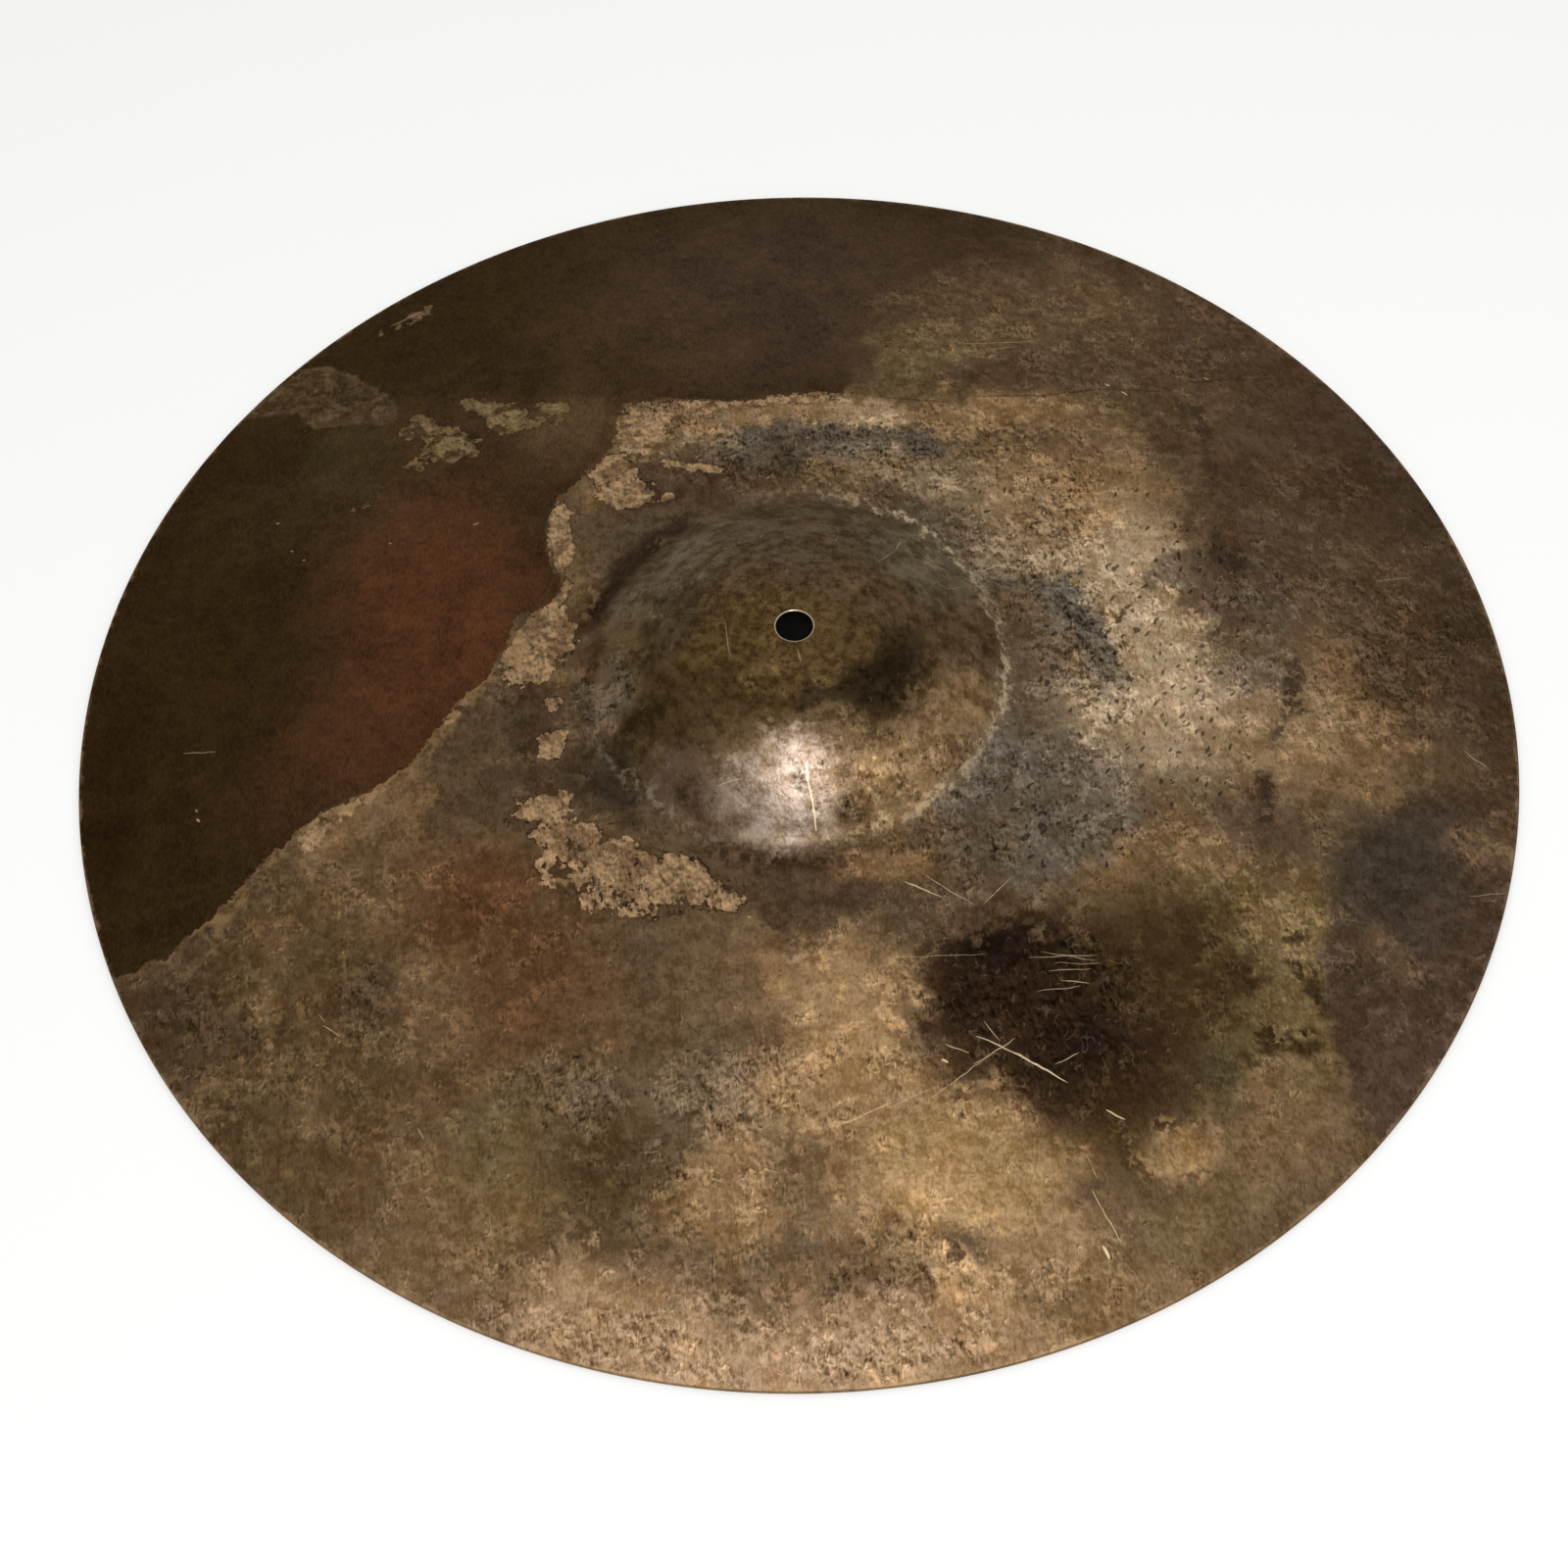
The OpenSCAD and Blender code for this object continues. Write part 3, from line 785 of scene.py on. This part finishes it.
def ground(s):
    """The bronze itself: stains that break up into each other, blotches, dabs, grain, and the painted light
    and shade of small bumps, strongest where the metal is flaky.
    """
    broken = s.ease(s.plus(s.lobes, s.times(s.fine, 0.6)), 0.77, 0.83)
    stain_and_light = s.mix(broken, s.field("stain_and_light", "Color"), s.field("drift", "Color"))
    texture = s.plus(
        s.swing(s.coarse, 0.06), s.ease(s.coarse, 0.495, 0.515, -0.05, 0.05),
        s.swing(s.medium, 0.07), s.ease(s.medium, 0.51, 0.52, -0.11, 0.12),
        s.ease(s.lobes, 0.50, 0.51, -0.11, 0.11),
        s.swing(s.fine, 0.07), s.ease(s.fine, 0.51, 0.53, -0.05, 0.07),
        s.swing(s.grit, 0.15),
        s.times(s.strokes, s.ease(s.flaky, 0.0, 1.0, 0.10, 0.28)),
        s.times(s.swing(s.swirl, 0.38), s.ease(s.radius, FOOT_R + 3, FOOT_R - 5)),
    )
    tone = s.plus(s.times(texture, s.ease(s.flaky, 0.0, 1.0, 0.62, 1.10)), 1.0)
    stain_and_light = s.tinted(s.ease(texture, 0.10, -0.45), stain_and_light, DEEPER)
    stain_and_light = s.scaled(stain_and_light, tone)
    hue = s.cloud(s.place, *HUE)
    stain_and_light = s.tinted(s.ease(hue, 0.52, 0.66, 0, 0.5), stain_and_light, WARMER)
    return s.tinted(s.ease(hue, 0.48, 0.36, 0, 0.5), stain_and_light, COOLER)


def flecks(s, stain_and_light):
    """Short dark flecks, pits and pale curls of lifted metal."""
    pitted = s.field("pits")
    slanted = s.mapped(s.bent(s.place, 5.0, 2.2), turn=58, size=(2.6, 1, 1))
    far, chance = s.cells(slanted, 2.5)
    reach = s.times(s.ease(chance, 0.15, 0.75, 0.05, 0.27), s.ease(pitted, 0.2, 0.7))
    bits = s.ease(s.less(far, reach), 0.03, -0.03)
    far, chance = s.cells(s.bent(s.place, 2.0, 1.6), 9.0)
    reach = s.times(chance, chance, s.ease(pitted, 0.1, 0.9, 0.0, 0.16))
    pits = s.ease(s.less(far, reach), 0.02, -0.03)
    stain_and_light = s.lay(stain_and_light, "dark_line", s.curl_shade, 0.45)
    lifted = s.vector("ADD", s.scaled(stain_and_light, 1.6), paint("lifted")[:3])
    stain_and_light = s.mix(s.times(s.curl, 0.60), stain_and_light, lifted)
    stain_and_light = s.lay(stain_and_light, "dark_line", bits, 0.72)
    return s.lay(stain_and_light, "dark_line", pits, 0.65)


def crusted(s, stain_and_light):
    """Tan crust with holes in it, thick enough to have a dark edge. Also gives where the crust is."""
    field = s.field("crust")
    level = s.plus(
        field, s.swing(s.medium, 0.18), s.swing(s.lobes, 0.16),
        s.swing(s.fine, 0.10), s.ease(s.fine, 0.44, 0.38, 0.0, -0.16),
    )
    crust = s.ease(level, 0.46, 0.51)
    edge = s.times(
        s.ease(level, 0.28, 0.42), s.ease(level, 0.53, 0.46), s.ease(s.coarse, 0.40, 0.52, 0.35, 1.0)
    )
    edge = s.times(edge, s.ease(field, 0.05, 0.3))
    colour = s.mix(s.ease(s.medium, 0.45, 0.55), paint("crust_dark"), paint("crust_pale"))
    tone = s.plus(
        s.ease(s.lobes, 0.49, 0.51, -0.12, 0.08), s.ease(s.fine, 0.47, 0.52, -0.12, 0.08),
        s.swing(s.grit, 0.16), s.times(s.strokes, 0.3), 1.0,
    )
    colour = s.scaled(colour, tone)
    stain_and_light = s.lay(stain_and_light, "dark_line", edge, 0.85)
    return s.mix(s.times(crust, 0.88), stain_and_light, colour), crust


def patched(s, colour):
    """The paler patch on the skin, by the rim."""
    depth = s.plus(s.field("patch"), s.swing(s.fine, 0.4), s.swing(s.lobes, 0.7))
    line = s.times(s.ease(depth, -1.5, 0.0), s.ease(depth, 1.5, 0.0))
    tone = s.plus(s.swing(s.fine, 0.14), s.times(s.strokes, 0.14), s.swing(s.grit, 0.12), 1.0)
    patch = s.mix(s.ease(s.lobes, 0.48, 0.51), paint("patch"), paint("patch_brown"))
    patch = s.lay(patch, "patch_pale", s.ease(s.medium, 0.53, 0.56))
    colour = s.mix(s.times(s.ease(depth, -0.4, 0.4), 0.85), colour, s.scaled(patch, tone))
    return s.lay(colour, "patch_line", line, 0.35)


def flaked(s, colour):
    """The pale flakes left on the skin, each with its shadow."""
    field = s.field("flake")
    level = s.plus(field, s.swing(s.medium, 0.12), s.swing(s.lobes, 0.20), s.swing(s.fine, 0.05))
    flake = s.times(s.ease(level, 0.46, 0.49), s.ease(field, 0.05, 0.2))
    shadow = s.times(s.ease(level, 0.30, 0.44), s.ease(field, 0.05, 0.2))
    flake_colour = s.mix(s.ease(s.lobes, 0.47, 0.50), paint("flake"), paint("flake_tan"))
    flake_colour = s.lay(flake_colour, "flake_pale", s.ease(level, 0.78, 0.84))
    flake_colour = s.scaled(flake_colour, s.plus(s.times(s.strokes, 0.25), s.swing(s.fine, 0.12), 1.0))
    colour = s.lay(colour, "dark_line", shadow, 0.40)
    return s.mix(s.times(flake, 0.82), colour, flake_colour)


def with_dark_reflection(s, stain_and_light):
    """The smooth zone, whose dark colour is a painted dark reflection, with its pale brim, patch and flakes.
    Also gives where the zone is.
    """
    soft = s.field("soft")
    ragged = s.plus(s.swing(s.fine, 0.5), s.swing(s.lobes, 0.7), s.swing(s.medium, 0.9))
    depth = s.plus(s.field("dark_reflection"), ragged, s.times(soft, s.swing(s.coarse, 16.0)))
    width = s.ease(soft, 0.0, 1.0, 0.3, 22.0)
    dark_reflection = s.ease(depth, s.times(width, -1.0), width)

    brim = s.times(s.ease(s.plus(depth, s.swing(s.coarse, 4.0)), -9.0, -2.0), s.ease(depth, 0.2, -0.4))
    brim = s.times(brim, s.ease(s.lobes, 0.36, 0.56, 0.1, 1.0), s.field("brim"))
    stain_and_light = s.lay(stain_and_light, "brim", brim, 0.7)

    tone = s.plus(
        s.swing(s.coarse, 0.14), s.swing(s.medium, 0.10), s.swing(s.grit, 0.16), s.swing(s.fine, 0.10),
        s.times(s.strokes, 0.05), 1.0,
    )
    colour = s.scaled(s.field("dark_reflection_colour", "Color"), tone)
    colour = flaked(s, patched(s, colour))
    return s.mix(dark_reflection, stain_and_light, colour), dark_reflection


def worn(s, colour):
    """Worn metal: the foot's line, which also holds a painted highlight, the rim, the hole's lip, scratches
    and cracks. Also gives the lip.
    """
    off = s.plus(s.field("foot_off"), s.swing(s.medium, 1.6), s.swing(s.lobes, 1.2))
    line = s.times(s.ease(s.calc("ABSOLUTE", off), 2.8, 0.1), s.field("foot_wear_and_highlight"))
    line = s.times(line, s.ease(s.fine, 0.45, 0.58, 0.12, 1.0))
    # The foot's light line: worn metal with a painted highlight.
    colour = s.lay(colour, "foot", line, 0.9)

    rim = s.ease(s.plus(s.radius, s.swing(s.fine, 0.4), s.swing(s.medium, 0.5)), RIM_R - 1.4, RIM_R - 0.2)
    colour = s.lay(colour, "rim", rim, s.ease(s.coarse, 0.35, 0.6, 0.15, 0.5))
    lip = s.ease(s.radius, HOLE_LIP_R + 0.3, HOLE_LIP_R)
    colour = s.lay(colour, "lip", lip, 0.8)

    bent = s.vector("MULTIPLY", s.bent(s.place, 6.0, 0.7), (1, 1, 0))
    broken = s.ease(s.fine, 0.30, 0.45, 0.35, 1.0)
    cracks = s.times(s.marks(bent, CRACKS), broken)
    scratches = s.times(s.marks(bent, SCRATCHES), broken)
    colour = s.lay(colour, "dark_line", cracks, 0.85)
    return s.lay(colour, "scratch", scratches, 0.85), lip


def under_face(s):
    """The underside: older, plainer oxide with darker clouds and a few pale curls."""
    colour = s.mix(s.ease(s.medium, 0.3, 0.7), paint("under"), paint("under_pale"))
    colour = s.lay(colour, "under_dark", s.ease(s.coarse, 0.4, 0.7))
    bell = s.ease(s.plus(s.radius, s.swing(s.medium, 4.0)), FOOT_R + 9, FOOT_R - 7)
    colour = s.lay(colour, "under_bell", bell, 0.55)
    rim = s.ease(s.plus(s.radius, s.swing(s.coarse, 6.0)), RIM_R - 18, RIM_R - 2)
    colour = s.lay(colour, "under_rim", rim, 0.45)
    colour = s.lay(colour, "dark_line", s.curl_shade, 0.35)
    colour = s.lay(colour, "pale_line", s.curl, 0.25)
    tone = s.plus(
        s.swing(s.lobes, 0.14), s.swing(s.fine, 0.18), s.swing(s.grit, 0.16), s.times(s.strokes, 0.1), 1.0
    )
    return s.scaled(colour, tone)


def raw_bronze():
    """Unlathed cast bronze with stains, crusts, pits, rubbed metal and scratches, and painted light: a smooth
    zone whose dark colour is a painted dark reflection, a highlight and a dark reflection on the bell, shade
    round its foot, light towards the far right, and the light and shade of small bumps.
    """
    material = bpy.data.materials.new("raw_bronze")
    s = Shades(material)
    s.place = s.scaled(s.add("TexCoord", {}).outputs["Object"], 1 / MM)
    streaky = s.mapped(s.place, size=(1, 1.5, 1))
    flat = s.vector("MULTIPLY", s.place, (1, 1, 0))
    s.radius = s.add("VectorMath", {0: flat}, operation="LENGTH").outputs["Value"]
    s.coarse = s.cloud(s.place, *COARSE)
    s.medium = s.cloud(s.place, *MEDIUM)
    s.lobes = s.cloud(s.place, *LOBES)
    s.fine = s.cloud(streaky, *FINE)
    s.grit = s.cloud(s.mapped(s.place, size=(1, 2.6, 1)), *GRIT)
    around = s.scaled(s.vector("NORMALIZE", flat), SWIRL_REACH)
    around = s.vector("ADD", around, s.vector("MULTIPLY", s.place, (0, 0, 1)))
    outwards = s.add("CombineXYZ", {"Z": s.radius}).outputs[0]
    s.swirl = s.cloud(s.vector("ADD", around, outwards), *SWIRL)
    # The painted light and shade of small bumps, laid into the colour's tone and also into the bump.
    s.strokes = s.emboss(streaky, BUMP_LIGHT_W, BUMP_LIGHT_STEP)
    s.flaky = s.ease(s.plus(s.field("grain"), s.swing(s.medium, 0.4)), 0.35, 0.70)
    s.curl, s.curl_shade = s.curls(streaky, CURL_W, s.ease(s.flaky, 0.0, 1.0, 0.68, 0.51), 0.034)

    stain_and_light, crust = crusted(s, flecks(s, ground(s)))
    # The smooth zone, whose dark colour is a painted dark reflection.
    colour, dark_reflection = with_dark_reflection(s, stain_and_light)
    colour, lip = worn(s, colour)
    upper = s.field("upper_side")
    colour = s.mix(upper, under_face(s), colour)

    polish = s.times(s.field("polish"), upper, s.ease(s.fine, 0.25, 0.7, 1.0, 0.55))
    rough = s.plus(
        s.ease(s.medium, 0.2, 0.8, 0.50, 0.62),
        s.times(dark_reflection, -0.08), s.times(crust, 0.14), s.times(polish, -0.16), s.times(lip, -0.25),
    )
    height = s.plus(
        s.times(s.fine, 0.04), s.times(s.strokes, 0.02), s.times(crust, 0.12), s.times(s.grit, 0.008)
    )
    metal = s.plus(s.times(crust, -0.25), s.times(dark_reflection, 0.08), 0.9)
    bump = s.add("Bump", {"Height": s.times(height, MM), "Distance": 1.0, "Strength": 0.8}).outputs[0]
    finish = {"Base Color": colour, "Roughness": rough, "Metallic": metal, "Normal": bump}
    for name, output in finish.items():
        s.tree.links.new(output, s.shader.inputs[name])
    s.shader.inputs["Specular IOR Level"].default_value = 0.3
    s.shader.inputs["Specular Tint"].default_value = EDGE_TINT
    return material


# ---- floor, light and camera
VIEW_UP = 54.97  # the camera's height above the horizon, degrees
VIEW_DISTANCE = 0.8765  # from the middle of the plate's foot, metres
VIEW_YAW, VIEW_PITCH, VIEW_ROLL = 0.32, -1.90, -1.22  # then turned this far about its own axes, degrees
LENS = 56.25
FLOOR_HALF = 30.0  # metres
FLOOR_GAP = 0.2  # between the plate and the floor, mm
FLOOR_COLOUR = (0.8, 0.8, 0.79, 1)
ROOM_LIGHT = 0.7
LAMP_AT, LAMP_SIZE, LAMP_POWER = (0.2, -0.86, 2.36), 0.5, 36  # metres, metres, watts


def placed(name, data):
    """A new object, linked to the scene."""
    thing = bpy.data.objects.new(name, data)
    bpy.context.scene.collection.objects.link(thing)
    return thing


def place_camera():
    """Looks down at the plate from the front, as a player standing over it would."""
    camera = placed("camera", bpy.data.cameras.new("camera"))
    camera.data.lens = LENS
    camera.data.clip_start = 0.05
    axes = Matrix.Rotation(math.radians(90 - VIEW_UP), 4, "X")
    place = Matrix.Translation(axes @ Vector((0, 0, VIEW_DISTANCE)))
    for angle, axis in ((VIEW_YAW, "Y"), (VIEW_PITCH, "X"), (VIEW_ROLL, "Z")):
        axes = axes @ Matrix.Rotation(math.radians(angle), 4, axis)
    camera.matrix_world = place @ axes
    bpy.context.scene.camera = camera


def soft_lamp():
    """A round soft box that points at the plate."""
    lamp = placed("key", bpy.data.lights.new("key", "AREA"))
    lamp.data.shape = "DISK"
    lamp.data.size = LAMP_SIZE
    lamp.data.energy = LAMP_POWER
    lamp.location = LAMP_AT
    lamp.rotation_mode = "QUATERNION"
    lamp.rotation_quaternion = (-Vector(LAMP_AT)).to_track_quat("-Z", "Y")


def pale_floor():
    """A plain pale floor under the plate."""
    far = FLOOR_HALF
    mesh = bpy.data.meshes.new("floor")
    mesh.from_pydata([(-far, -far, 0), (far, -far, 0), (far, far, 0), (-far, far, 0)], [], [(0, 1, 2, 3)])
    floor = placed("floor", mesh)
    floor.location.z = plate_low.z - FLOOR_GAP * MM
    material = bpy.data.materials.new("pale_floor")
    shader = Shades(material).shader
    shader.inputs["Base Color"].default_value = FLOOR_COLOUR
    shader.inputs["Roughness"].default_value = 0.9
    mesh.materials.append(material)


def pale_room():
    """Soft even light from all round."""
    world = bpy.data.worlds.new("pale_room")
    world.use_nodes = True
    background = world.node_tree.nodes["Background"]
    background.inputs["Color"].default_value = (1, 1, 1, 1)
    background.inputs["Strength"].default_value = ROOM_LIGHT
    bpy.context.scene.world = world
    bpy.context.scene.view_settings.view_transform = "Standard"


# ---- the object
plate, plate_x, plate_y, plate_up = plate_mesh("cymbal_plate")
cymbal = placed("cymbal_plate", plate)
lay_patina_and_light(plate, plate_x, plate_y, plate_up)
plate.materials.append(raw_bronze())
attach(cymbal, "root")
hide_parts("cymbal")
pale_floor()
pale_room()
soft_lamp()
place_camera()
